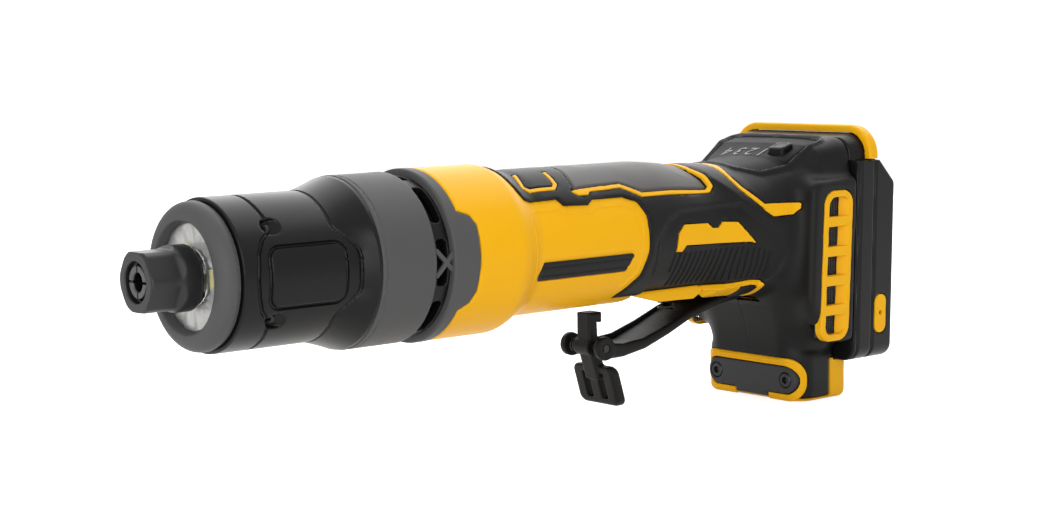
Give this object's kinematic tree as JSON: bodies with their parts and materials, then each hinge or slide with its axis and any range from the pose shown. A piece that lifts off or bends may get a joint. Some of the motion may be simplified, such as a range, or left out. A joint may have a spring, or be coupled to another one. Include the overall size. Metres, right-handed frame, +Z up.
{
  "type": "die grinder",
  "caption": "Cordless long-nose die grinder with a collet nut, a paddle switch with a lock-off lever, side air louvres and a slide-on battery foot.",
  "frame": {"origin": "under the middle of the grinder, on the plane of the foot's sole", "axes": "+X along the spindle towards the battery foot, +Z up, nose at -X, split plane at Y = 0"},
  "size_m": [0.332, 0.076, 0.112],
  "materials": {
    "grey_plastic": "fine matte grain",
    "black_plastic": "fine matte grain",
    "yellow_plastic": "satin moulded",
    "soft_rubber": "soft matte",
    "clear_lens": "clear with a fine crinkle",
    "steel": "ground",
    "black_steel": "black oxide",
    "cast_metal": "die cast",
    "copper_wire": "enamelled copper wire",
    "brass": "plain",
    "circuit_board": "solder mask"
  },
  "bodies": {
    "housing": {"battery_frame": "black_plastic", "bumper": "yellow_plastic", "chip_cover": "grey_plastic", "collar": "grey_plastic", "controller_module": "grey_plastic", "display_panel": "black_plastic", "front_bearing_outer": "steel", "front_winding": "copper_wire", "grip_case_screw": "steel", "grip_pad": "soft_rubber", "head_case_screw": "steel", "left_cover_screw": "black_steel", "left_filter": "black_plastic", "left_housing": "yellow_plastic", "left_louvre": "yellow_plastic", "left_overmould": "black_plastic", "light_board": "circuit_board", "light_lens": "clear_lens", "motor_end_bell": "cast_metal", "nose_barrel": "black_plastic", "nose_housing": "cast_metal", "nose_ring": "grey_plastic", "nose_screw_1": "steel", "nose_screw_2": "steel", "nose_screw_3": "steel", "nose_screw_4": "steel", "paddle_pin": "steel", "paddle_spring": "steel", "rear_bearing_outer": "steel", "rear_bearing_sleeve": "soft_rubber", "rear_winding": "copper_wire", "right_cover_screw": "black_steel", "right_filter": "black_plastic", "right_housing": "yellow_plastic", "right_louvre": "yellow_plastic", "right_overmould": "black_plastic", "rim_ring": "grey_plastic", "stator_core": "steel", "switch_body": "black_plastic", "terminal_blade_1": "brass", "terminal_blade_2": "brass", "terminal_blade_3": "brass", "terminal_block": "black_plastic", "vent_ring": "black_plastic"},
    "spindle": {"spindle": "steel", "rotor": "steel", "fan": "black_plastic", "front_bearing_inner": "steel", "rear_bearing_inner": "steel"},
    "collet": {"collet": "black_steel"},
    "collet_nut": {"collet_nut": "black_steel"},
    "front_cage": {"front_bearing_cage": "brass"},
    "rear_cage": {"rear_bearing_cage": "brass"},
    "paddle": {"paddle": "black_plastic", "lever_pin": "steel", "lever_spring": "steel"},
    "lock_lever": {"lock_lever": "black_plastic"},
    "switch_plunger": {"switch_plunger": "soft_rubber"},
    "speed_button": {"speed_button": "black_plastic"}
  },
  "joints": [
    {"name": "spindle_spin", "type": "hinge", "parent": "housing", "child": "spindle", "pos_m": [-0.066, 0, 0.073], "axis": [1, 0, 0], "continuous": true},
    {"name": "front_cage_spin", "type": "hinge", "parent": "housing", "child": "front_cage", "pos_m": [-0.1342, 0, 0.073], "axis": [1, 0, 0], "continuous": true},
    {"name": "rear_cage_spin", "type": "hinge", "parent": "housing", "child": "rear_cage", "pos_m": [-0.0083, 0, 0.073], "axis": [1, 0, 0], "continuous": true},
    {"name": "collet_turn", "type": "hinge", "parent": "spindle", "child": "collet", "pos_m": [-0.156, 0, 0.073], "axis": [1, 0, 0], "range_deg": [0, 720]},
    {"name": "nut_back_off", "type": "slide", "parent": "collet", "child": "collet_nut", "axis": [-1, 0, 0], "range_m": [0, 0.0021]},
    {"name": "paddle_press", "type": "hinge", "parent": "housing", "child": "paddle", "pos_m": [0.115, 0, 0.0485], "axis": [0, 1, 0], "range_deg": [0, 5], "stiffness_Nm_per_rad": 3.5, "springref_deg": -8.59, "deforming": ["paddle_spring"]},
    {"name": "lever_swing", "type": "hinge", "parent": "paddle", "child": "lock_lever", "pos_m": [0.029, 0, 0.031], "axis": [0, -1, 0], "range_deg": [0, 25], "stiffness_Nm_per_rad": 0.05, "springref_deg": -34.38},
    {"name": "plunger_push", "type": "slide", "parent": "housing", "child": "switch_plunger", "axis": [0, 0, 1], "range_m": [0, 0.0019]},
    {"name": "speed_button_press", "type": "slide", "parent": "housing", "child": "speed_button", "axis": [0, 0, -1], "range_m": [0, 0.001], "stiffness_N_per_m": 800, "springref_m": -0.002}
  ],
  "couplings": [
    {"joint": "front_cage_spin", "follows": "spindle_spin", "ratio": 0.435},
    {"joint": "rear_cage_spin", "follows": "spindle_spin", "ratio": 0.4285},
    {"joint": "nut_back_off", "follows": "collet_turn", "m_per_rad": 0.00015915},
    {"joint": "plunger_push", "follows": "paddle_press", "m_per_rad": 0.021}
  ]
}
